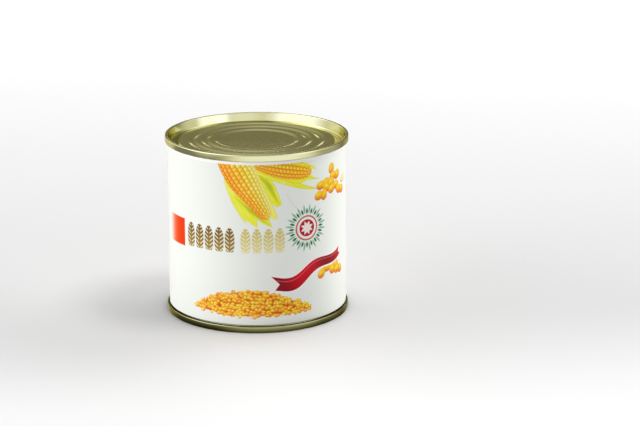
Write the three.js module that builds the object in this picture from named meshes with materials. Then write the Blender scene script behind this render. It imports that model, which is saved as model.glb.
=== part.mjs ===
// A shut can of sweet corn: a tinplate body between two double-seamed ends, in a wrap-round paper label.
// Millimetres, +Z up. The can stands on its bottom seam at z = 0 around the Z axis, and the front of
// the label faces -Y. The can can't be seen into, so its body is solid.
import * as THREE from "three";

// ---- driving dimensions ----
const CAN_HEIGHT = 85.7; // over both seams
const SEAM_RADIUS = 43.65; // 87.3 mm over the seams
const SEAM_HEIGHT = 3.0;
const SEAM_THICKNESS = 1.35;
const BODY_RADIUS = 42.3;
const LABEL_RADIUS = 42.65; // outside of the paper
const LABEL_BOTTOM = 3.75;
const PAPER = 0.15; // paper thickness
const GAP = 0.3; // between pieces that touch on the real can
const FACETS = 60; // round the can
const ARC_STEP = THREE.MathUtils.degToRad(45); // along a fillet, at most
const LAP = { first: 0, last: 2 }; // facets from +X, where the label's outer end covers its inner end

// ---- an end, as depths below the crest of its seam ----
const SHEET = 0.3; // thickness of an end's tinplate
const PANEL_DEPTH = 3.4; // flat centre panel
const RING_RISE = 0.6; // rings and outer panel, above the centre panel
const VALLEY_RISE = 0.05; // grooves between the rings
const COUNTERSINK_DEPTH = 4.4;
const CREST_FILLET = 0.42;
const LIP_FILLET = 0.35; // lower edge of the seam
const RING_FILLET = 1.2;

// Radii where the sheet bends, from the centre outwards, with the rise that it bends to.
const PANEL_BENDS = [
  { from: 18.4, to: 20.1, rise: RING_RISE },
  { from: 22.4, to: 24.0, rise: VALLEY_RISE },
  { from: 25.0, to: 26.6, rise: RING_RISE },
  { from: 28.5, to: 30.1, rise: VALLEY_RISE },
  { from: 31.1, to: 32.7, rise: RING_RISE },
];
const SHOULDER = { radius: 37.1, fillet: 1.0 }; // where the panel turns down into the countersink
const COUNTERSINK = { inner: 39.0, outer: 41.2, fillet: 0.8 };
const CHUCK_WALL_TOP = SEAM_RADIUS - SEAM_THICKNESS;
const CHUCK_WALL_BACK = 41.8; // hidden side of the chuck wall, level with the seam's lower edge

// ---- finishes ----
function tinplate() {
  return new THREE.MeshStandardMaterial({ color: 0xb9b07a, roughness: 0.32, metalness: 0.9 });
}

function labelPaper() {
  return new THREE.MeshStandardMaterial({ color: 0xf4f3ee, roughness: 0.35, metalness: 0 });
}

// ---- profiles ----
// A line through corners [radius, height, fillet]: each corner that has a fillet becomes an arc.
function filleted(corners) {
  const line = [];
  corners.forEach(([radius, height, fillet = 0], i) => {
    const corner = new THREE.Vector2(radius, height);
    if (!fillet) {
      line.push(corner);
      return;
    }
    const back = new THREE.Vector2(...corners[i - 1].slice(0, 2)).sub(corner).normalize();
    const ahead = new THREE.Vector2(...corners[i + 1].slice(0, 2)).sub(corner).normalize();
    const halfAngle = Math.acos(THREE.MathUtils.clamp(back.dot(ahead), -1, 1)) / 2;
    const centre = back.clone().add(ahead).normalize().multiplyScalar(fillet / Math.sin(halfAngle));
    centre.add(corner);
    const tangentLength = fillet / Math.tan(halfAngle);
    const start = back.multiplyScalar(tangentLength).add(corner).sub(centre);
    const end = ahead.multiplyScalar(tangentLength).add(corner).sub(centre);
    const turn = Math.atan2(start.cross(end), start.dot(end));
    const steps = Math.ceil(Math.abs(turn) / ARC_STEP);
    for (let step = 0; step <= steps; step++) {
      const point = start.clone().rotateAround(new THREE.Vector2(), (turn * step) / steps);
      line.push(point.add(centre));
    }
  });
  return line;
}

// A solid of revolution about Z. The profile runs anticlockwise in (radius, height).
function turned(profile) {
  return new THREE.LatheGeometry(profile, FACETS).rotateX(Math.PI / 2);
}

// One end, crest of its seam at z = 0, seen from above.
function endGeometry() {
  const hidden = [
    [0, -PANEL_DEPTH - SHEET],
    [SHOULDER.radius, -PANEL_DEPTH - SHEET],
    [COUNTERSINK.inner - SHEET, -COUNTERSINK_DEPTH - SHEET / 2],
    [COUNTERSINK.inner + SHEET, -COUNTERSINK_DEPTH - SHEET],
    [COUNTERSINK.outer - SHEET, -COUNTERSINK_DEPTH - SHEET],
    [COUNTERSINK.outer + SHEET, -COUNTERSINK_DEPTH],
    [CHUCK_WALL_BACK, -SEAM_HEIGHT],
  ];
  const seam = [
    [SEAM_RADIUS, -SEAM_HEIGHT, LIP_FILLET],
    [SEAM_RADIUS, 0, CREST_FILLET],
    [CHUCK_WALL_TOP, 0, CREST_FILLET],
  ];
  const countersink = [
    [COUNTERSINK.outer, -COUNTERSINK_DEPTH, COUNTERSINK.fillet],
    [COUNTERSINK.inner, -COUNTERSINK_DEPTH, COUNTERSINK.fillet],
    [SHOULDER.radius, RING_RISE - PANEL_DEPTH, SHOULDER.fillet],
  ];
  const panel = [[0, -PANEL_DEPTH]];
  let rise = 0;
  for (const bend of PANEL_BENDS) {
    panel.push([bend.from, rise - PANEL_DEPTH, RING_FILLET]);
    panel.push([bend.to, bend.rise - PANEL_DEPTH, RING_FILLET]);
    rise = bend.rise;
  }
  const seen = [...seam, ...countersink, ...panel.reverse()];
  return turned(filleted([...hidden, ...seen]));
}

// The solid body with what it holds: its top and bottom follow the hidden sides of the ends.
function bodyGeometry() {
  const rimInner = CHUCK_WALL_BACK + GAP;
  const half = [
    [0, PANEL_DEPTH + SHEET + GAP],
    [SHOULDER.radius, PANEL_DEPTH + SHEET + GAP],
    [COUNTERSINK.inner - GAP, COUNTERSINK_DEPTH + SHEET + GAP],
    [COUNTERSINK.outer + GAP, COUNTERSINK_DEPTH + SHEET + GAP],
    [rimInner, COUNTERSINK_DEPTH],
    [rimInner, SEAM_HEIGHT + GAP],
    [BODY_RADIUS, SEAM_HEIGHT + GAP],
  ];
  const bottom = half.map(([radius, depth]) => new THREE.Vector2(radius, depth));
  const top = half.map(([radius, depth]) => new THREE.Vector2(radius, CAN_HEIGHT - depth)).reverse();
  return turned([...bottom, ...top]);
}

// Corners of the facets from number first to number last on a circle about Z.
function facetCorners(radius, first, last) {
  return Array.from({ length: last - first + 1 }, (_, i) => {
    const angle = ((first + i) * 2 * Math.PI) / FACETS;
    return new THREE.Vector2(radius * Math.cos(angle), radius * Math.sin(angle));
  });
}

// The label: a sleeve whose outer end is glued over its inner end, one paper thickness further out.
function labelGeometry() {
  const section = new THREE.Shape([
    ...facetCorners(LABEL_RADIUS + PAPER, LAP.first, LAP.last),
    ...facetCorners(LABEL_RADIUS, LAP.last, LAP.first + FACETS),
  ]);
  section.holes.push(new THREE.Path(facetCorners(LABEL_RADIUS - PAPER, 0, FACETS - 1)));
  const height = CAN_HEIGHT - SEAM_HEIGHT - GAP - LABEL_BOTTOM;
  return new THREE.ExtrudeGeometry(section, { depth: height, bevelEnabled: false });
}

// ---- the can ----
function piece(name, geometry, material) {
  const mesh = new THREE.Mesh(geometry, material);
  mesh.name = name;
  return mesh;
}

const can = new THREE.Group();

const body = piece("can_body", bodyGeometry(), tinplate());
can.add(body);

const topEnd = piece("top_end", endGeometry(), tinplate());
topEnd.position.z = CAN_HEIGHT;
can.add(topEnd);

const bottomEnd = piece("bottom_end", endGeometry(), tinplate());
bottomEnd.rotation.x = Math.PI;
can.add(bottomEnd);

const label = piece("paper_label", labelGeometry(), labelPaper());
label.position.z = LABEL_BOTTOM;
can.add(label);

export default can;
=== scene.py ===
import math

import bpy
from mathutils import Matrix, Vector


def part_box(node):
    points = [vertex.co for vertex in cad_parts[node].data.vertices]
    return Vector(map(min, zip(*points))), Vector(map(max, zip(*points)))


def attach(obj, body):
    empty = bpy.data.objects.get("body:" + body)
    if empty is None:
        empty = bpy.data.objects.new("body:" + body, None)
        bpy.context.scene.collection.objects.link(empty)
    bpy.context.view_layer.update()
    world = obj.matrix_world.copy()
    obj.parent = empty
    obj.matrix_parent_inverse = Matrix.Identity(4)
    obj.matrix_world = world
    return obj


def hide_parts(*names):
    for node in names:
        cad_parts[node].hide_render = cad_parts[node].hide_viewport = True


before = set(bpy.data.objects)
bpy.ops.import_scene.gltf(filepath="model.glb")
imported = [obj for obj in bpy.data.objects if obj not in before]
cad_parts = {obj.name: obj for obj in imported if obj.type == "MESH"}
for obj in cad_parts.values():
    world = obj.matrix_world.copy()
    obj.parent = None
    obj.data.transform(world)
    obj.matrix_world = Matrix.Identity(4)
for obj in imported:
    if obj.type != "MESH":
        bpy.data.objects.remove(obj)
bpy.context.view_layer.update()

# ---- sizes in millimetres ----
MM = 0.001  # metres
CAN_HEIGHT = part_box("top_end")[1].z / MM
SEAM_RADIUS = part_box("top_end")[1].x / MM
SEAM_HEIGHT = 3.0
SEAM_THICKNESS = 1.35
BODY_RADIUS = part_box("can_body")[1].x / MM
BODY_DEPTH = 5.2  # of the body's hidden ends below the crests
GAP = 0.3  # between the body's edge and the seams
ROUND = 240  # steps round the can
SHARP = math.radians(40)  # edges that turn more than this aren't smoothed

# Label: a strip of paper, its outer end lapped over its inner end on the can's right side.
LABEL_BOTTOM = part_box("paper_label")[0].z / MM
LABEL_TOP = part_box("paper_label")[1].z / MM
LABEL_RADIUS = 42.5  # inside of the paper
PAPER = 0.12
LAP = 9.0
LAP_STEP = 0.03  # clearance between the two layers of the lap
LAP_CLIMB = 1.2  # length over which the outer layer climbs on to the inner one

# An end, as depths below the crest of its seam, and the radii where its sheet bends.
PANEL_DEPTH = 3.4
SHEET = 0.3
RING_RISE = 0.6
VALLEY_RISE = 0.05
COUNTERSINK_DEPTH = 4.4
CREST_FILLET = 0.42
LIP_FILLET = 0.35
RING_FILLET = 1.2
PANEL_BENDS = [
    (18.4, 20.1, RING_RISE),
    (22.4, 24.0, VALLEY_RISE),
    (25.0, 26.6, RING_RISE),
    (28.5, 30.1, VALLEY_RISE),
    (31.1, 32.7, RING_RISE),
]
SHOULDER_RADIUS = 37.1
SHOULDER_FILLET = 1.0
COUNTERSINK_RADII = (39.0, 41.2)
COUNTERSINK_FILLET = 0.8
CHUCK_WALL_BACK = 41.8
ARC_STEP = math.radians(9)  # along a fillet, at most

# ---- the photograph's view ----
CAMERA_DISTANCE = 1.1  # metres from the middle of the can
CAMERA_ELEVATION = 0.280  # radians above it
CAMERA_PITCH = 0.27723  # radians down
CAMERA_YAW = 0.0285  # radians towards +X
FOCAL_PIXELS = 2287
PICTURE_WIDTH = 640
SENSOR = 36


def make_camera():
    data = bpy.data.cameras.new("camera")
    data.sensor_width = SENSOR
    data.lens = FOCAL_PIXELS / PICTURE_WIDTH * SENSOR
    data.clip_end = 50
    camera = bpy.data.objects.new("camera", data)
    back = Vector((0, -math.cos(CAMERA_ELEVATION), math.sin(CAMERA_ELEVATION)))
    camera.location = Vector((0, 0, CAN_HEIGHT * MM / 2)) + back * CAMERA_DISTANCE
    level = Vector((math.sin(CAMERA_YAW), math.cos(CAMERA_YAW), 0))
    ahead = level * math.cos(CAMERA_PITCH) - Vector((0, 0, math.sin(CAMERA_PITCH)))
    camera.rotation_euler = ahead.to_track_quat("-Z", "Y").to_euler()
    bpy.context.scene.collection.objects.link(camera)
    bpy.context.scene.camera = camera


# ---- meshes ----
def filleted(corners):
    """A line through corners (radius, height, fillet), where a corner with a fillet becomes an arc."""
    line = []
    for i, (radius, height, *fillet) in enumerate(corners):
        corner = Vector((radius, height))
        if not fillet:
            line.append(corner)
            continue
        back = (Vector(corners[i - 1][:2]) - corner).normalized()
        ahead = (Vector(corners[i + 1][:2]) - corner).normalized()
        half_angle = back.angle(ahead) / 2
        centre = corner + (back + ahead).normalized() * fillet[0] / math.sin(half_angle)
        start = corner + back * fillet[0] / math.tan(half_angle) - centre
        turn = math.pi - 2 * half_angle
        if back.cross(ahead) > 0:
            turn = -turn
        steps = math.ceil(abs(turn) / ARC_STEP)
        for step in range(steps + 1):
            angle = turn * step / steps
            c, s = math.cos(angle), math.sin(angle)
            line.append(centre + Vector((c * start.x - s * start.y, s * start.x + c * start.y)))
    return line


def new_piece(name, verts, faces, material, node):
    """A smooth mesh made from points in millimetres, which stands for a node of the frame."""
    mesh = bpy.data.meshes.new(name)
    mesh.from_pydata([Vector(v) * MM for v in verts], [], faces)
    mesh.shade_smooth()
    mesh.set_sharp_from_angle(angle=SHARP)
    mesh.materials.append(material)
    piece = bpy.data.objects.new(name, mesh)
    bpy.context.scene.collection.objects.link(piece)
    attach(piece, "root")
    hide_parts(node)
    return piece


def turned(profile):
    """Points and faces of a solid turned round Z. The profile runs anticlockwise in (radius, height), from
    axis to axis."""
    verts = []
    faces = []
    rows = profile[1:-1]
    for i in range(ROUND):
        angle = 2 * math.pi * i / ROUND
        verts += [(p.x * math.cos(angle), p.x * math.sin(angle), p.y) for p in rows]
    count = len(rows)
    low, high = len(verts), len(verts) + 1
    verts += [(0, 0, profile[0].y), (0, 0, profile[-1].y)]
    for i in range(ROUND):
        here = i * count
        there = (i + 1) % ROUND * count
        faces.append((low, there, here))
        for k in range(count - 1):
            faces.append((here + k, there + k, there + k + 1, here + k + 1))
        faces.append((high, here + count - 1, there + count - 1))
    return verts, faces


def end_profile():
    hidden = [
        (0, -PANEL_DEPTH - SHEET),
        (SHOULDER_RADIUS, -PANEL_DEPTH - SHEET),
        (COUNTERSINK_RADII[0], -COUNTERSINK_DEPTH - SHEET, SHEET),
        (COUNTERSINK_RADII[1], -COUNTERSINK_DEPTH - SHEET, SHEET),
        (CHUCK_WALL_BACK, -SEAM_HEIGHT),
    ]
    seam = [
        (SEAM_RADIUS, -SEAM_HEIGHT, LIP_FILLET),
        (SEAM_RADIUS, 0, CREST_FILLET),
        (SEAM_RADIUS - SEAM_THICKNESS, 0, CREST_FILLET),
    ]
    countersink = [
        (COUNTERSINK_RADII[1], -COUNTERSINK_DEPTH, COUNTERSINK_FILLET),
        (COUNTERSINK_RADII[0], -COUNTERSINK_DEPTH, COUNTERSINK_FILLET),
        (SHOULDER_RADIUS, RING_RISE - PANEL_DEPTH, SHOULDER_FILLET),
    ]
    panel = [(0, -PANEL_DEPTH)]
    rise = 0
    for start, end, next_rise in PANEL_BENDS:
        panel.append((start, rise - PANEL_DEPTH, RING_FILLET))
        panel.append((end, next_rise - PANEL_DEPTH, RING_FILLET))
        rise = next_rise
    return filleted(hidden + seam + countersink + panel[::-1])


def make_ends(material):
    verts, faces = turned(end_profile())
    top = [(x, y, CAN_HEIGHT + z) for x, y, z in verts]
    bottom = [(x, -y, -z) for x, y, z in verts]
    new_piece("lid", top, faces, material, "top_end")
    new_piece("base", bottom, faces, material, "bottom_end")


def make_wall(material):
    """The body, whose hidden ends lie clear of the lid and the base."""
    rim = SEAM_HEIGHT + GAP
    bottom = [
        (0, BODY_DEPTH),
        (CHUCK_WALL_BACK - 0.6, BODY_DEPTH),
        (CHUCK_WALL_BACK + 0.2, rim),
        (BODY_RADIUS, rim),
    ]
    top = [(radius, CAN_HEIGHT - height) for radius, height in bottom[::-1]]
    verts, faces = turned(filleted(bottom + top))
    new_piece("wall", verts, faces, material, "can_body")


def label_section():
    """Angle, radius of the inner side and distance along the strip for each step of the label."""
    girth = 2 * math.pi * LABEL_RADIUS
    steps = ROUND + round(ROUND * LAP / girth)
    section = []
    for i in range(steps + 1):
        along = girth * i / ROUND
        climb = min(max(along - girth + LAP_CLIMB, 0) / LAP_CLIMB, 1)
        climb = climb * climb * (3 - 2 * climb)
        section.append((2 * math.pi * i / ROUND, LABEL_RADIUS + climb * (PAPER + LAP_STEP), along))
    return section


# Where each side of the label goes on its bake map: left, bottom, right and top edges.
BAKE_MAP = {
    "back": (0.01, 0.01, 0.99, 0.45),
    "front": (0.01, 0.47, 0.99, 0.91),
    "inside": (0.01, 0.925, 0.99, 0.955),
    "bottom edge": (0.01, 0.962, 0.99, 0.97),
    "top edge": (0.01, 0.976, 0.99, 0.984),
    "first end": (0.01, 0.99, 0.48, 0.996),
    "last end": (0.52, 0.99, 0.99, 0.996),
}
LABEL_ROWS = 16
BARE = -50.0  # print height of unprinted paper


def label_faces(steps):
    """Each face of the label: the side that it is on, and its corners (step, 1 if outer, row)."""
    last = LABEL_ROWS
    for i in range(steps):
        side = "back" if i < ROUND / 2 else "front"
        for k in range(last):
            yield "inside", [(i, 0, k), (i, 0, k + 1), (i + 1, 0, k + 1), (i + 1, 0, k)]
            yield side, [(i, 1, k), (i + 1, 1, k), (i + 1, 1, k + 1), (i, 1, k + 1)]
        yield "bottom edge", [(i, 0, 0), (i + 1, 0, 0), (i + 1, 1, 0), (i, 1, 0)]
        yield "top edge", [(i, 0, last), (i, 1, last), (i + 1, 1, last), (i + 1, 0, last)]
    for k in range(last):
        yield "first end", [(0, 0, k), (0, 1, k), (0, 1, k + 1), (0, 0, k + 1)]
        yield "last end", [(steps, 0, k), (steps, 0, k + 1), (steps, 1, k + 1), (steps, 1, k)]


def print_place(side, along, height, middle, girth):
    """Millimetres to the right of the middle of a print, and up the can. One print is at -Y, one at +Y."""
    if side not in ("front", "back"):
        return 0, BARE
    centre = girth * (0.25 if middle % girth < girth / 2 else 0.75)
    return along - centre - (girth if middle >= girth else 0), height


def bake_place(side, step, outer, row, steps):
    """A corner's place on the bake map."""
    half = ROUND / 2
    across = {"back": step / half, "front": (step - half) / (steps - half)}.get(side, step / steps)
    up = outer if "edge" in side else row / LABEL_ROWS
    if "end" in side:
        across, up = row / LABEL_ROWS, outer
    left, bottom, right, top = BAKE_MAP[side]
    return left + (right - left) * across, bottom + (top - bottom) * up


def make_label(material):
    """The label: a strip wrapped once round the body from the +X side, with its printed side out."""
    section = label_section()
    steps = len(section) - 1
    girth = 2 * math.pi * LABEL_RADIUS
    high = LABEL_TOP - LABEL_BOTTOM
    heights = [LABEL_BOTTOM + high * k / LABEL_ROWS for k in range(LABEL_ROWS + 1)]
    verts = []
    for angle, radius, _ in section:
        for r in (radius, radius + PAPER):
            verts += [(r * math.cos(angle), r * math.sin(angle), z) for z in heights]
    faces, prints, bakes = [], [], []
    for side, corners in label_faces(steps):
        faces.append([(i * 2 + outer) * len(heights) + k for i, outer, k in corners])
        middle = sum(section[i][2] for i, _, _ in corners) / 4
        for i, outer, k in corners:
            prints += print_place(side, section[i][2], heights[k], middle, girth)
            bakes += bake_place(side, i, outer, k, steps)
    label = new_piece("label", verts, faces, material, "paper_label")
    for name, places in (("print", prints), ("OFBake", bakes)):
        label.data.uv_layers.new(name=name).data.foreach_set("uv", places)


# ---- arithmetic in shader nodes ----
class Field:
    """A number that varies from place to place: the output of a shader node."""

    def __init__(self, socket):
        self.socket = socket

    def __add__(self, other):
        return arithmetic("ADD", self, other)

    def __sub__(self, other):
        return arithmetic("SUBTRACT", self, other)

    def __rsub__(self, other):
        return arithmetic("SUBTRACT", other, self)

    def __mul__(self, other):
        return arithmetic("MULTIPLY", self, other)

    def __rmul__(self, other):
        return arithmetic("MULTIPLY", other, self)

    def __truediv__(self, other):
        return arithmetic("DIVIDE", self, other)

    def __abs__(self):
        return arithmetic("ABSOLUTE", self)

    def __neg__(self):
        return arithmetic("MULTIPLY", self, -1)


def feed(slot, value):
    if isinstance(value, Field):
        value = value.socket
    if isinstance(value, bpy.types.NodeSocket):
        value.id_data.links.new(value, slot)
    else:
        slot.default_value = value


def tree_of(*values):
    return next((v.socket if isinstance(v, Field) else v).id_data for v in values
                if isinstance(v, (Field, bpy.types.NodeSocket)))


def arithmetic(operation, *values, clamp=False):
    node = tree_of(*values).nodes.new("ShaderNodeMath")
    node.operation = operation
    node.use_clamp = clamp
    for slot, value in zip(node.inputs, values):
        feed(slot, value)
    return Field(node.outputs[0])


def smaller(a, b):
    return arithmetic("MINIMUM", a, b)


def larger(a, b):
    return arithmetic("MAXIMUM", a, b)


def length(x, y):
    return arithmetic("SQRT", arithmetic("MULTIPLY_ADD", x, x, y * y))


def inside(distance, soft=0.12):
    """1 where a distance in millimetres is negative, 0 where it is positive, with a soft edge."""
    return arithmetic("MULTIPLY_ADD", distance, -0.5 / soft, 0.5, clamp=True)


def rise(value, low, high):
    """A smooth climb from 0 at low to 1 at high."""
    node = tree_of(value).nodes.new("ShaderNodeMapRange")
    node.interpolation_type = "SMOOTHSTEP"
    for name, number in (("Value", value), ("From Min", low), ("From Max", high)):
        feed(node.inputs[name], number)
    return Field(node.outputs[0])


def curve(value, points):
    """A smooth curve through points (value, result), value from 0 to 1."""
    low = min(result for _, result in points)
    span = max(result for _, result in points) - low
    node = tree_of(value).nodes.new("ShaderNodeFloatCurve")
    feed(node.inputs["Value"], value)
    line = node.mapping.curves[0]
    line.points[0].location = (points[0][0], (points[0][1] - low) / span)
    line.points[1].location = (points[-1][0], (points[-1][1] - low) / span)
    for place, result in points[1:-1]:
        line.points.new(place, (result - low) / span)
    node.mapping.update()
    return arithmetic("MULTIPLY_ADD", node.outputs[0], span, low)


def vector(x, y, z=0.0):
    node = tree_of(x, y).nodes.new("ShaderNodeCombineXYZ")
    for slot, value in zip(node.inputs, (x, y, z)):
        feed(slot, value)
    return node.outputs[0]


def parts(socket):
    node = socket.id_data.nodes.new("ShaderNodeSeparateXYZ")
    feed(node.inputs[0], socket)
    return [Field(out) for out in node.outputs]


def noise(place, scale, detail=2.0, roughness=0.5):
    node = place.id_data.nodes.new("ShaderNodeTexNoise")
    feed(node.inputs["Vector"], place)
    node.inputs["Scale"].default_value = scale
    node.inputs["Detail"].default_value = detail
    node.inputs["Roughness"].default_value = roughness
    return Field(node.outputs[0])


def chance(x, y):
    """A random number from 0 to 1 for each pair of whole numbers."""
    node = tree_of(x, y).nodes.new("ShaderNodeTexWhiteNoise")
    node.noise_dimensions = "2D"
    feed(node.inputs["Vector"], vector(x, y))
    return Field(node.outputs["Value"])


def tone(red, green, blue):
    """A display colour from 0 to 255 as the linear colour that a shader takes."""
    def linear(level):
        level /= 255
        return level / 12.92 if level <= 0.04045 else ((level + 0.055) / 1.055) ** 2.4
    return (linear(red), linear(green), linear(blue), 1.0)


def mix(first, second, share):
    """A colour between two others."""
    node = tree_of(first, second, share).nodes.new("ShaderNodeMix")
    node.data_type = "RGBA"
    feed(node.inputs[0], share)
    feed(node.inputs[6], first)
    feed(node.inputs[7], second)
    return node.outputs[2]


def ramp(value, *stops):
    """A colour that runs through stops (place, tone)."""
    node = tree_of(value).nodes.new("ShaderNodeValToRGB")
    feed(node.inputs[0], value)
    elements = node.color_ramp.elements
    while len(elements) < len(stops):
        elements.new(0.5)
    for element, (place, colour) in zip(elements, stops):
        element.position = place
        element.color = colour
    return node.outputs[0]


# ---- the print ----
class Picture:
    """A print built up in layers: u runs to the right and v up the can, in millimetres."""

    def __init__(self, u, v, colour):
        self.u = u
        self.v = v
        self.colour = colour

    def paint(self, colour, mask):
        self.colour = mix(self.colour, colour, mask)

    def line(self, start, end):
        """Millimetres along and to the left of the line from start to end, and its length."""
        span = math.dist(start, end)
        c, s = (end[0] - start[0]) / span, (end[1] - start[1]) / span
        along = arithmetic("MULTIPLY_ADD", self.v, s, -start[0] * c - start[1] * s)
        along = arithmetic("MULTIPLY_ADD", self.u, c, along)
        left = arithmetic("MULTIPLY_ADD", self.v, c, start[0] * s - start[1] * c)
        left = arithmetic("MULTIPLY_ADD", self.u, -s, left)
        return along, left, span

    def draw(self, motif, *details):
        """Paints a motif by nodes in a group of their own."""
        group = bpy.data.node_groups.new(motif.__name__, "ShaderNodeTree")
        for name, kind in (("u", "Float"), ("v", "Float"), ("under", "Color")):
            group.interface.new_socket(name, in_out="INPUT", socket_type="NodeSocket" + kind)
        group.interface.new_socket("over", in_out="OUTPUT", socket_type="NodeSocketColor")
        u, v, under = group.nodes.new("NodeGroupInput").outputs[:3]
        inner = Picture(Field(u), Field(v), under)
        motif(inner, *details)
        feed(group.nodes.new("NodeGroupOutput").inputs[0], inner.colour)
        node = tree_of(self.u).nodes.new("ShaderNodeGroup")
        node.node_tree = group
        for slot, value in zip(node.inputs, (self.u, self.v, self.colour)):
            feed(slot, value)
        self.colour = node.outputs[0]


def colour_block(picture):
    """An orange-red block, with a painted highlight that turns it pale and fades it out to the left."""
    x = abs(picture.u + 46.8) - 7.6
    y = abs(picture.v - 44.5) - 6.7
    # Painted highlight: the block turns pale pink and fades out towards the label's left edge.
    painted_highlight_fade = rise(picture.u, -54.6, -48.5)
    shade = ramp(rise(picture.u, -53, -41), (0, tone(250, 140, 105)), (0.6, tone(238, 76, 14)),
                 (1, tone(236, 60, 0)))
    picture.paint(shade, inside(larger(x, y), 0.2) * painted_highlight_fade)


def grain_ears(picture, first, count, dark, light):
    """A row of upright ears of grain in one gold: pairs of slanting grains on a stem."""
    pitch, high = 5.35, 11.8
    place = (picture.u - first) / pitch + 0.5
    x = abs(place - arithmetic("FLOOR", place) - 0.5) * pitch
    y = picture.v - 38.8
    half = curve(y / high, [(0, 1.2), (0.15, 2.1), (0.6, 2.3), (0.85, 1.6), (1, 0.1)])
    row = (y - x * 0.85) / 1.95
    row = (row - arithmetic("FLOOR", row) - 0.5) * 1.95
    grains = larger(abs(row) - 0.72, x - half)
    stem = larger(x - 0.42, y - high + 1.4)
    in_row = larger(larger(-y, y - high), (abs(place - count / 2) - count / 2) * pitch)
    shade = mix(light, dark, rise(y + x, 0, high))
    picture.paint(shade, inside(larger(smaller(grains, stem), in_row), 0.14))


def leaf(picture, start, end, left, right, base, tip, ribs=5, fold=None):
    """A husk leaf between two edges, which are given as points (share of its length, millimetres to its
    left). Its fold is a darker crease: (place across the leaf, width, tone)."""
    along, across, span = picture.line(start, end)
    share = along / span
    upper = curve(share, left)
    lower = curve(share, right)
    place = (across - lower) / larger(upper - lower, 0.05)
    edge = larger(larger(across - upper, lower - across), larger(-along, along - span))
    rib = arithmetic("SINE", place * (ribs * 2 * math.pi) + share * 3)
    streak = noise(vector(share * 3.0, place * 6.0 + start[0]), 1.0, 3.0)
    shade = ramp(share, (0, base), (1, tip))
    shade = mix(shade, tone(255, 252, 130), arithmetic("MULTIPLY_ADD", streak, 2.4, -1.0, clamp=True))
    shade = mix(shade, tone(196, 208, 8), arithmetic("MULTIPLY_ADD", rib, 0.2, 0.02, clamp=True))
    if fold:
        place_of_fold, fold_width, fold_tone = fold
        crease = abs(place - place_of_fold) - fold_width * (1.0 - abs(share * 2 - 0.9))
        shade = mix(shade, fold_tone, inside(crease, 0.12) * 0.9)
    shade = mix(shade, tone(190, 192, 10), rise(edge, -0.35, 0.05) * 0.45)
    picture.paint(shade, inside(edge))


def cob(picture, base, tip, half_width, rows, pitch, kernels, gaps):
    """A corn cob: rows of kernels that run from its base to its tip and close up towards its sides."""
    along, across, span = picture.line(base, tip)
    half = curve(along / span, half_width)
    x = larger(smaller(across / half, 0.999), -0.999)
    row = arithmetic("ARCSINE", x) * (rows / math.pi)
    row_number = arithmetic("FLOOR", row)
    step = arithmetic("MULTIPLY_ADD", row_number, 0.5, along / pitch) + chance(row_number, 3.0) * 0.3
    step_number = arithmetic("FLOOR", step)
    luck = chance(row_number, step_number)
    a = row - row_number - 0.5
    b = step - step_number - 0.5
    side = arithmetic("MULTIPLY_ADD", x, 0.5, 0.5)
    tint = arithmetic("MULTIPLY_ADD", luck, 0.3, side) - 0.15
    shade = ramp(tint, *kernels)
    low_side = arithmetic("MULTIPLY_ADD", a + b, 0.9, 0.35, clamp=True)
    shade = mix(shade, ramp(side, *gaps), low_side * 0.55)
    shine = rise(length(a + 0.13, b * 0.8 + 0.12), 0.27, 0.03)
    shade = mix(shade, tone(255, 252, 160), shine * rise(side + luck * 0.4, 0.0, 1.2))
    gap = larger(rise(abs(a), 0.33, 0.5), rise(abs(b), 0.38, 0.52) * 0.75)
    gap = larger(gap, rise(length(a, b), 0.5, 0.66))
    shade = mix(shade, ramp(side, *gaps), gap)
    picture.paint(shade, inside(larger(abs(across) - half, larger(-along, along - span))))


def loose_kernels(picture, places, top, bottom):
    """Plump kernels at places (middle, angle), each lighter above and with a dark rim."""
    for middle, angle in places:
        turn = math.radians(angle)
        node = tree_of(picture.u).nodes.new("ShaderNodeMapping")
        node.vector_type = "TEXTURE"
        feed(node.inputs["Vector"], vector(picture.u, picture.v))
        node.inputs["Location"].default_value = (*middle, 0)
        node.inputs["Rotation"].default_value = (0, 0, turn)
        node.inputs["Scale"].default_value = (2.7, 2.15, 1)
        x, y, _ = parts(node.outputs[0])
        reach = length(x, y)
        up = y * math.cos(turn) + x * math.sin(turn)
        shade = mix(bottom, top, rise(up, -0.8, 0.35))
        shade = mix(shade, tone(255, 234, 70), rise(length(x + 0.1, y - 0.35), 0.5, 0.0) * 0.6)
        shade = mix(shade, tone(214, 88, 0), rise(reach, 0.66, 1.02) * rise(up, 1.0, -0.4) * 0.9)
        picture.paint(shade, arithmetic("MULTIPLY_ADD", reach, -6.0, 6.5, clamp=True))


HEAP_ENDS = (-32.4, 26.8)
HEAP_TOP = [
    (0, 10.4), (0.12, 15.2), (0.32, 19.4), (0.42, 20.4), (0.54, 20.5), (0.66, 18.9), (0.81, 15.8),
    (0.92, 13.4), (1, 10.4),
]
HEAP_BOTTOM = [(0, 9.8), (0.1, 8.9), (0.23, 8.2), (0.53, 7.7), (0.82, 8.1), (1, 9.6)]


def heap_edge(u, v):
    """How far a point lies outside the heap."""
    share = (u - HEAP_ENDS[0]) / (HEAP_ENDS[1] - HEAP_ENDS[0])
    return larger(v - curve(share, HEAP_TOP), curve(share, HEAP_BOTTOM) - v), share


def heap_floor(picture):
    """The dark gaps between the kernels of the heap."""
    edge, _ = heap_edge(picture.u, picture.v)
    picture.paint(tone(206, 78, 2), inside(edge + 0.7, 0.4))


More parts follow.
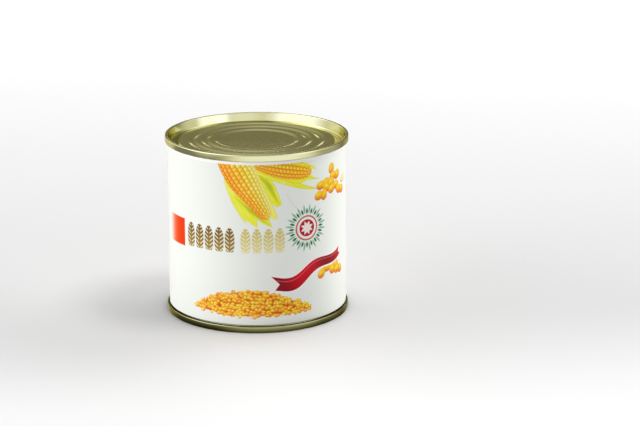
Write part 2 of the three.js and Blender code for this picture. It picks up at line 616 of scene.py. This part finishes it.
def heap_layer(picture, pitch, reach, offset, share_shown):
    """One layer of the heap's kernels, round and whole up to its outline."""
    u, v = picture.u, picture.v
    flat = 1.12  # kernels are this much wider than high
    node = tree_of(u).nodes.new("ShaderNodeTexVoronoi")
    node.voronoi_dimensions = "2D"
    feed(node.inputs["Vector"], vector(u / pitch + offset, v / (pitch / flat) + offset))
    node.inputs["Scale"].default_value = 1.0
    node.inputs["Randomness"].default_value = 0.75
    distance = Field(node.outputs["Distance"])
    cell_x, cell_y, _ = parts(node.outputs["Position"])
    luck, other_luck, _ = parts(node.outputs["Color"])
    cell_u = (cell_x - offset) * pitch
    cell_v = (cell_y - offset) * (pitch / flat)
    edge, share = heap_edge(cell_u, cell_v)
    x = (u - cell_u) / pitch
    y = (v - cell_v) / (pitch / flat)
    shade = ramp(share, (0, tone(252, 232, 96)), (0.16, tone(252, 196, 50)), (0.5, tone(252, 180, 36)),
                 (0.8, tone(244, 198, 30)), (1, tone(220, 218, 40)))
    own_shade = ramp(luck, (0, tone(248, 134, 24)), (0.5, tone(255, 194, 38)), (1, tone(255, 238, 64)))
    shade = mix(shade, own_shade, 0.6)
    shade = mix(shade, tone(212, 96, 16), rise(y, 0.05, -0.5) * 0.6)
    shine = rise(length(x + 0.06, y - 0.14), 0.34, 0.04) * (other_luck * 0.6 + 0.5)
    shade = mix(shade, tone(255, 236, 112), shine)
    rim = rise(distance, reach * 0.6, reach * 1.05) * (rise(edge, -0.2, -1.8) * 0.55 + 0.3)
    shade = mix(shade, tone(196, 74, 0), rim)
    darker = rise(noise(vector(u / 3.0, v / 2.4), 1.0, 1.0), 0.54, 0.72)
    shade = mix(shade, tone(214, 78, 6), darker * 0.5)
    kernel = inside(edge - 0.1, 0.01) * inside(distance - reach, 0.06)
    picture.paint(shade, kernel * inside(other_luck - share_shown, 0.01))


def rosette(picture, middle):
    """A rosette of slender green leaves round a red ring and a red disc with a white flower."""
    x = picture.u - middle[0]
    y = picture.v - middle[1]
    reach = length(x, y)
    turn = arithmetic("ARCTAN2", y, x)

    def off_spoke(count, phase=0.0):
        """Millimetres from the nearest of so many evenly spaced spokes."""
        place = arithmetic("MULTIPLY_ADD", turn, count / (2 * math.pi), phase)
        return abs(place - arithmetic("FLOOR", place) - 0.5) * reach * (2 * math.pi / count)

    def petals(distance, inner, outer, width):
        share = larger(smaller((reach - inner) / (outer - inner), 1.0), 0.0)
        bulge = arithmetic("SINE", share * math.pi) * width
        return larger(distance - bulge, larger(inner - reach, reach - outer))

    picture.paint(tone(140, 190, 160), inside(petals(off_spoke(20), 6.6, 11.5, 0.5), 0.14))
    picture.paint(tone(16, 112, 66), inside(petals(off_spoke(20, 0.5), 6.6, 9.6, 0.55), 0.14))
    picture.paint(tone(202, 98, 94), inside(abs(reach - 5.7) - 0.4, 0.14))
    picture.paint(tone(182, 14, 34), inside(reach - 4.1, 0.14))
    picture.paint(tone(250, 236, 228), inside(petals(off_spoke(8), 0.0, 3.4, 0.75), 0.12))


def ribbon(picture, start, end):
    """A waving red ribbon with a pale edge and swallow-tail ends."""
    along, across, span = picture.line(start, end)
    share = along / span
    wave = share * (2 * math.pi * 1.5) + 2.6
    centre = arithmetic("SINE", wave) * curve(share, [(0, 2.4), (0.4, 1.8), (1, 1.1)])
    half = curve(share, [(0, 3.6), (0.25, 3.2), (0.6, 2.5), (1, 2.0)])
    off = across - centre
    notch = abs(off) * 0.8
    edge = larger(abs(off) - half, larger(2.4 - notch - along, along - span + 2.0 - notch))
    picture.paint(tone(255, 240, 240), inside(edge - 0.8, 0.2))
    slope = arithmetic("COSINE", wave)
    shade = ramp(arithmetic("MULTIPLY_ADD", slope, 0.5, 0.5), (0, tone(140, 0, 18)),
                 (0.45, tone(186, 2, 26)), (1, tone(210, 10, 34)))
    shade = mix(shade, tone(240, 110, 112), inside(abs(off - half * 0.5) - 0.25, 0.25) * 0.5)
    shade = mix(shade, tone(120, 0, 14), rise(off, half * -0.3, half * -1.0) * 0.5)
    picture.paint(shade, inside(edge, 0.15))


def hairline(picture, start, end, bend):
    """A faint grey hairline on the label."""
    along, across, span = picture.line(start, end)
    share = along / span
    off = abs(across - (share - share * share) * (4 * bend)) - 0.05
    picture.paint(tone(190, 190, 186), inside(larger(off, larger(-along, along - span)), 0.14) * 0.7)


def white_margin_and_painted_light(picture, height):
    # A whiter band at the label's top: partly a white print margin, partly painted light against the shade
    # under the seam.
    picture.paint(tone(255, 255, 253), inside(height - picture.v, 0.1))


LIME = tone(248, 246, 32)
GREEN = tone(240, 240, 30)
DARK_GREEN = tone(184, 200, 16)
STRAW = tone(255, 248, 108)
BROWN_GOLD = (tone(132, 100, 18), tone(168, 138, 56))
PALE_GOLD = (tone(214, 198, 114), tone(234, 222, 154))
KERNEL_TONES = (tone(250, 202, 4), tone(234, 132, 0))
PALE_KERNEL_TONES = (tone(248, 240, 186), tone(244, 228, 150))
LOW_KERNEL_TONES = (tone(252, 204, 4), tone(234, 130, 0))
LARGE_COB_KERNELS = [
    (0, tone(255, 182, 50)), (0.25, tone(255, 212, 58)), (0.5, tone(255, 238, 66)),
    (0.75, tone(255, 252, 106)), (1, tone(255, 254, 170)),
]
LARGE_COB_GAPS = [
    (0, tone(234, 56, 4)), (0.3, tone(240, 86, 2)), (0.55, tone(230, 120, 6)), (0.8, tone(224, 158, 16)),
    (1, tone(232, 200, 66)),
]
SMALL_COB_KERNELS = [
    (0, tone(255, 204, 60)), (0.4, tone(255, 216, 46)), (0.75, tone(255, 226, 30)), (1, tone(252, 230, 24)),
]
SMALL_COB_GAPS = [(0, tone(240, 80, 4)), (0.5, tone(232, 100, 2)), (1, tone(216, 136, 0))]
UPPER_KERNELS = [
    ((40.5, 74.7), 80), ((36.4, 68.9), 20), ((32.6, 68.0), 15), ((45.4, 70.8), 35), ((41.8, 71.0), 10),
    ((40.3, 68.0), 30), ((36.6, 66.4), -30), ((44.4, 66.0), -10), ((40.6, 64.9), 25), ((34.8, 63.2), 80),
    ((31.4, 63.3), 30), ((50.4, 62.6), -20), ((47.0, 63.4), -40),
]
PALE_KERNELS = [((52.2, 67.6), 30)]
LOWER_KERNELS = [
    ((36.6, 27.2), -20), ((33.2, 25.0), 50), ((44.3, 27.0), -15), ((41.0, 25.4), -50), ((48.6, 23.9), -35),
    ((45.6, 24.4), 10),
]


def draw_small_cob(picture):
    """The small cob with the leaves behind it and one over it."""
    picture.draw(leaf, (0, 78), (10.6, 61.3),
                 [(0, 0.5), (0.2, 1.8), (0.42, 3.3), (0.6, 2.9), (1, 1.0)],
                 [(0, -1.5), (0.5, -3.2), (0.95, -1.9), (1, -1.2)],
                 GREEN, LIME, 4, (0.62, 0.18, DARK_GREEN))
    picture.draw(leaf, (-1.5, 79.5), (30.9, 67.4),
                 [(0, 2), (0.3, 3), (0.6, 1.2), (0.68, -0.2), (0.9, -0.4), (1, 0.0)],
                 [(0, -0.5), (0.12, -2.4), (0.5, -2.9), (0.7, -2.6), (0.87, -1.8), (1, -0.2)],
                 LIME, tone(236, 236, 24))
    picture.draw(leaf, (7, 75.8), (32.2, 71.5),
                 [(0, 0.5), (0.3, 1.5), (0.72, 1.8), (0.85, 0.5), (1, 0.1)],
                 [(0, -0.8), (0.3, -1.6), (0.52, -2.6), (0.7, -0.9), (1, -0.1)],
                 GREEN, LIME, 4, (0.55, 0.1, DARK_GREEN))
    picture.draw(cob, (-4, 82), (27, 75.8),
                 [(0, 1.4), (0.14, 2.4), (0.32, 3.8), (0.5, 4.6), (0.66, 4.5), (0.85, 3.8), (0.96, 2.2),
                  (1, 0.3)],
                 7, 1.8, SMALL_COB_KERNELS, SMALL_COB_GAPS)
    picture.draw(leaf, (16.5, 80.2), (29.7, 76.3),
                 [(0, 0.6), (0.4, 2.0), (0.8, 1.5), (1, 0.0)],
                 [(0, 0.4), (0.35, 0.2), (0.6, 0.9), (0.85, 0.1), (1, -0.1)],
                 tone(250, 216, 24), LIME)


def draw_large_cob(picture):
    """The large cob over its husk."""
    picture.draw(leaf, (-11.8, 64), (-5.2, 53.2),
                 [(0, 0.8), (0.5, 0.9), (1, 0.05)],
                 [(0, -0.5), (0.5, -0.7), (1, -0.05)],
                 LIME, tone(240, 240, 130))
    picture.draw(leaf, (-15.6, 74), (0.1, 51.3),
                 [(0, 0.5), (0.3, 2.5), (0.6, 3), (0.85, 1.9), (1, 0)],
                 [(0, 0), (0.24, -2.2), (0.45, -3.1), (0.65, -3.1), (0.85, -1.8), (1, -0.1)],
                 tone(236, 238, 76), LIME, 5, (0.8, 0.12, GREEN))
    picture.draw(leaf, (-10.5, 66.5), (6.9, 51.1),
                 [(0, 0.6), (0.4, 2), (0.75, 2.4), (0.9, 1.2), (1, 0.0)],
                 [(0, -0.3), (0.3, -1.4), (0.7, -1.7), (0.88, -0.9), (1, -0.1)],
                 GREEN, tone(246, 240, 44), 4, (0.3, 0.2, DARK_GREEN))
    picture.draw(leaf, (-3.5, 82.5), (9.4, 55.1),
                 [(0, 1.0), (0.4, 0.9), (0.8, 0.7), (1, 0.0)],
                 [(0, -3), (0.5, -3), (0.8, -3), (1, -0.3)],
                 tone(250, 246, 132), STRAW, 2)
    picture.draw(cob, (-14.4, 87.4), (5.3, 55.2),
                 [(0, 6.6), (0.14, 7.3), (0.23, 7.6), (0.36, 7.6), (0.54, 6.5), (0.73, 4.9), (0.88, 3.8),
                  (0.966, 2.4), (1, 0.3)],
                 10, 2.05, LARGE_COB_KERNELS, LARGE_COB_GAPS)


def draw_print(picture):
    picture.draw(colour_block)
    picture.draw(grain_ears, -34.5, 5, *BROWN_GOLD)
    picture.draw(grain_ears, -5.6, 4, *PALE_GOLD)
    draw_small_cob(picture)
    draw_large_cob(picture)
    picture.draw(loose_kernels, UPPER_KERNELS, *KERNEL_TONES)
    picture.draw(loose_kernels, PALE_KERNELS, *PALE_KERNEL_TONES)
    picture.draw(loose_kernels, LOWER_KERNELS, *LOW_KERNEL_TONES)
    picture.draw(heap_floor)
    picture.draw(heap_layer, 1.8, 0.66, 0.0, 1.1)
    picture.draw(heap_layer, 1.95, 0.54, 37.0, 0.62)
    picture.draw(rosette, (24.3, 49.0))
    picture.draw(ribbon, (8.0, 22.5), (48.5, 34.0))
    picture.draw(hairline, (14, 67), (19.5, 59), -0.8)
    picture.draw(hairline, (24, 14), (27, 17), 0.3)
    picture.draw(white_margin_and_painted_light, 81.0)


PAPER_TONE = tone(241, 243, 237)
PAPER_PAINTED_SHADE_LOW = tone(233, 235, 229)  # painted shade along the label's foot


# ---- finishes ----
def new_material(name):
    material = bpy.data.materials.new(name)
    material.use_nodes = True
    return material, material.node_tree.nodes["Principled BSDF"]


def object_place(tree):
    return tree.nodes.new("ShaderNodeTexCoord").outputs["Object"]


# Painted shade and reflection: the outside of the bottom seam and the gap above it are painted darker near
# the floor, in tones by share of a height.
PAINTED_SHADE_HEIGHT = 4 * MM
PAINTED_FLOOR_SHADE = [
    (0, tone(44, 42, 20)), (0.2, tone(72, 70, 36)), (0.35, tone(100, 98, 56)), (0.52, tone(122, 120, 74)),
    (0.64, tone(154, 152, 106)), (0.72, tone(172, 170, 126)), (0.84, tone(74, 70, 38)),
    (1, tone(170, 166, 110)),
]


def tinplate():
    material, shader = new_material("lacquered tinplate")
    tree = material.node_tree
    place = object_place(tree)
    x, y, z = parts(place)
    grain = noise(vector(x * 60, y * 2400, z * 2400), 1.0, 3.0)
    mottle = noise(place, 70.0, 3.0)
    gold = mix(tone(220, 220, 173), tone(225, 225, 179), mottle)
    gold = mix(gold, tone(212, 211, 161), grain * 0.5)
    # Painted shade and reflection near the floor, on the outer face only.
    painted_shade_share = rise(z, PAINTED_SHADE_HEIGHT, 3.6 * MM) * rise(length(x, y), 42.0 * MM, 42.25 * MM)
    painted_low_tone = ramp(z / PAINTED_SHADE_HEIGHT, *PAINTED_FLOOR_SHADE)
    # Painted shadow: the low seam is painted darker still on the can's left side.
    painted_low_tone = mix(painted_low_tone, tone(60, 58, 32), rise(x, -36 * MM, -43 * MM) * 0.75)
    gold = mix(gold, painted_low_tone, painted_shade_share)
    feed(shader.inputs["Base Color"], gold)
    feed(shader.inputs["Roughness"], arithmetic("MULTIPLY_ADD", mottle, 0.05, 0.1))
    shader.inputs["Metallic"].default_value = 1.0
    shader.inputs["Specular Tint"].default_value = tone(235, 228, 190)
    bump = tree.nodes.new("ShaderNodeBump")
    bump.inputs["Distance"].default_value = 0.00002
    bump.inputs["Strength"].default_value = 0.12
    feed(bump.inputs["Height"], grain)
    feed(shader.inputs["Normal"], bump.outputs[0])
    return material


def printed_paper():
    material, shader = new_material("printed paper")
    tree = material.node_tree
    uv = tree.nodes.new("ShaderNodeUVMap")
    uv.uv_map = "print"
    u, v, _ = parts(uv.outputs[0])
    # The paper is painted greyer towards the label's foot: painted shade.
    picture = Picture(u, v, mix(PAPER_PAINTED_SHADE_LOW, PAPER_TONE, rise(v, 0, 34)))
    draw_print(picture)
    feed(shader.inputs["Base Color"], picture.colour)
    shader.inputs["Roughness"].default_value = 0.32
    shader.inputs["Specular IOR Level"].default_value = 0.14
    return material


# ---- floor and light ----
FLOOR = 0.70  # share of the light that the floor gives back beside the can
FLOOR_SIZE = 12.0  # metres


def make_floor():
    half = FLOOR_SIZE / 2
    corners = [(-half, -half, 0), (half, -half, 0), (half, half, 0), (-half, half, 0)]
    mesh = bpy.data.meshes.new("floor")
    mesh.from_pydata(corners, [], [(0, 1, 2, 3)])
    floor = bpy.data.objects.new("floor", mesh)
    bpy.context.scene.collection.objects.link(floor)
    material, shader = new_material("floor")
    x, y, z = parts(object_place(material.node_tree))
    # Painted light: the floor is painted lighter towards the back and the front and darkest beside the can,
    # for the studio's falloff of light.
    painted_light_far = smaller(larger(y, 0.0) * 0.4, 0.28)
    near = rise(y, 0.0, -0.16) * 0.18
    feed(shader.inputs["Base Color"], mix((0.0, 0.0, 0.0, 1), (1, 1, 1, 1), painted_light_far + near + FLOOR))
    shader.inputs["Roughness"].default_value = 1.0
    shader.inputs["Specular IOR Level"].default_value = 0.0
    mesh.materials.append(material)
    floor.visible_glossy = False
    floor.visible_diffuse = False


def toward(azimuth, elevation):
    """The direction at these angles in degrees: azimuth 0 is at the front, -Y, and 90 at +X."""
    a, e = math.radians(azimuth), math.radians(elevation)
    return Vector((math.sin(a) * math.cos(e), -math.cos(a) * math.cos(e), math.sin(e)))


def softbox(name, azimuth, elevation, distance, wide, high, power):
    """A rectangular light that faces the can."""
    data = bpy.data.lights.new(name, "AREA")
    data.shape = "RECTANGLE"
    data.size, data.size_y = wide, high
    data.energy = power
    light = bpy.data.objects.new(name, data)
    away = toward(azimuth, elevation)
    light.location = Vector((0, 0, 0.05)) + away * distance
    light.rotation_euler = (-away).to_track_quat("-Z", "Y").to_euler()
    bpy.context.scene.collection.objects.link(light)
    return light


# Soft bright patches of the studio: azimuth, elevation and radius in degrees, and strength.
SOFT_LIGHT = [
    (0, 90, 30, 1.5),  # overhead
    (-68, 18, 36, 2.1),  # left
    (-120, 26, 40, 1.4),  # left, behind
    (114, 18, 34, 1.9),  # right
    (140, 20, 40, 2.1),  # right, behind
    (-60, -24, 50, 1.15),  # low left
    (115, -24, 50, 1.8),  # low right
    (6, -50, 60, 0.95),  # from below
]
SOFT_BASE = 0.08
# The same for the light that the metal mirrors.
MIRRORED = [
    (0, 90, 45, 0.75),  # overhead
    (-95, 50, 35, 1.1),  # high left
    (-65, 24, 45, 1.2),  # left
    (-125, 22, 38, 0.75),  # left, behind
    (-150, 45, 40, 0.24),  # high behind
    (95, 48, 35, 0.8),  # high right
    (98, 22, 32, 0.4),  # right
    (62, 14, 28, 0.88),  # right, in front
    (17, -18, 73, 0.86),  # front, with the floor
    (-25, 15, 16, 0.3),  # left, in front
    (95, -15, 40, 0.22),  # the floor at the right
    (-152, -13, 32, 0.55),  # the floor behind, left
    (158, -14, 22, 0.25),  # the floor behind, right
    (180, 1, 7.5, 3.2),  # a small light behind
]
MIRRORED_BASE = 0.25


def studio_level(direction, base, patches):
    """The brightness of a studio in a direction given as three numbers."""
    x, y, z = direction
    level = base
    for azimuth, elevation, radius, strength in patches:
        middle = toward(azimuth, elevation)
        near = arithmetic("MULTIPLY_ADD", z, middle.z, y * middle.y) + x * middle.x
        patch = rise(near, math.cos(math.radians(radius)), math.cos(math.radians(radius * 0.3)))
        level = arithmetic("MULTIPLY_ADD", patch, strength, level)
    return level


def make_studio():
    """A studio in which soft panels light the matt surfaces and others are mirrored by the shiny ones."""
    world = bpy.data.worlds.new("studio")
    world.use_nodes = True
    tree = world.node_tree
    direction = parts(tree.nodes.new("ShaderNodeTexCoord").outputs["Generated"])
    matt = Field(tree.nodes.new("ShaderNodeLightPath").outputs["Is Diffuse Ray"])
    soft = studio_level(direction, SOFT_BASE, SOFT_LIGHT)
    mirrored = studio_level(direction, MIRRORED_BASE, MIRRORED)
    level = mirrored * (1 - matt) + soft * matt
    background = tree.nodes["Background"]
    feed(background.inputs["Strength"], level)
    tint = mix((1, 0.96, 0.82, 1), (1, 1, 1.2, 1), rise(level, 0.8, 1.3))
    feed(background.inputs["Color"], mix(tint, (1, 1, 1, 1), matt))
    world.cycles.sampling_method = "NONE"
    bpy.context.scene.world = world


def make_lights():
    key = softbox("key", 75, 64, 3.2, 1.0, 1.0, 32)
    key.visible_glossy = False
    make_studio()
    bpy.context.scene.view_settings.view_transform = "Standard"


make_camera()
metal = tinplate()
make_ends(metal)
make_wall(metal)
make_label(printed_paper())
make_floor()
make_lights()
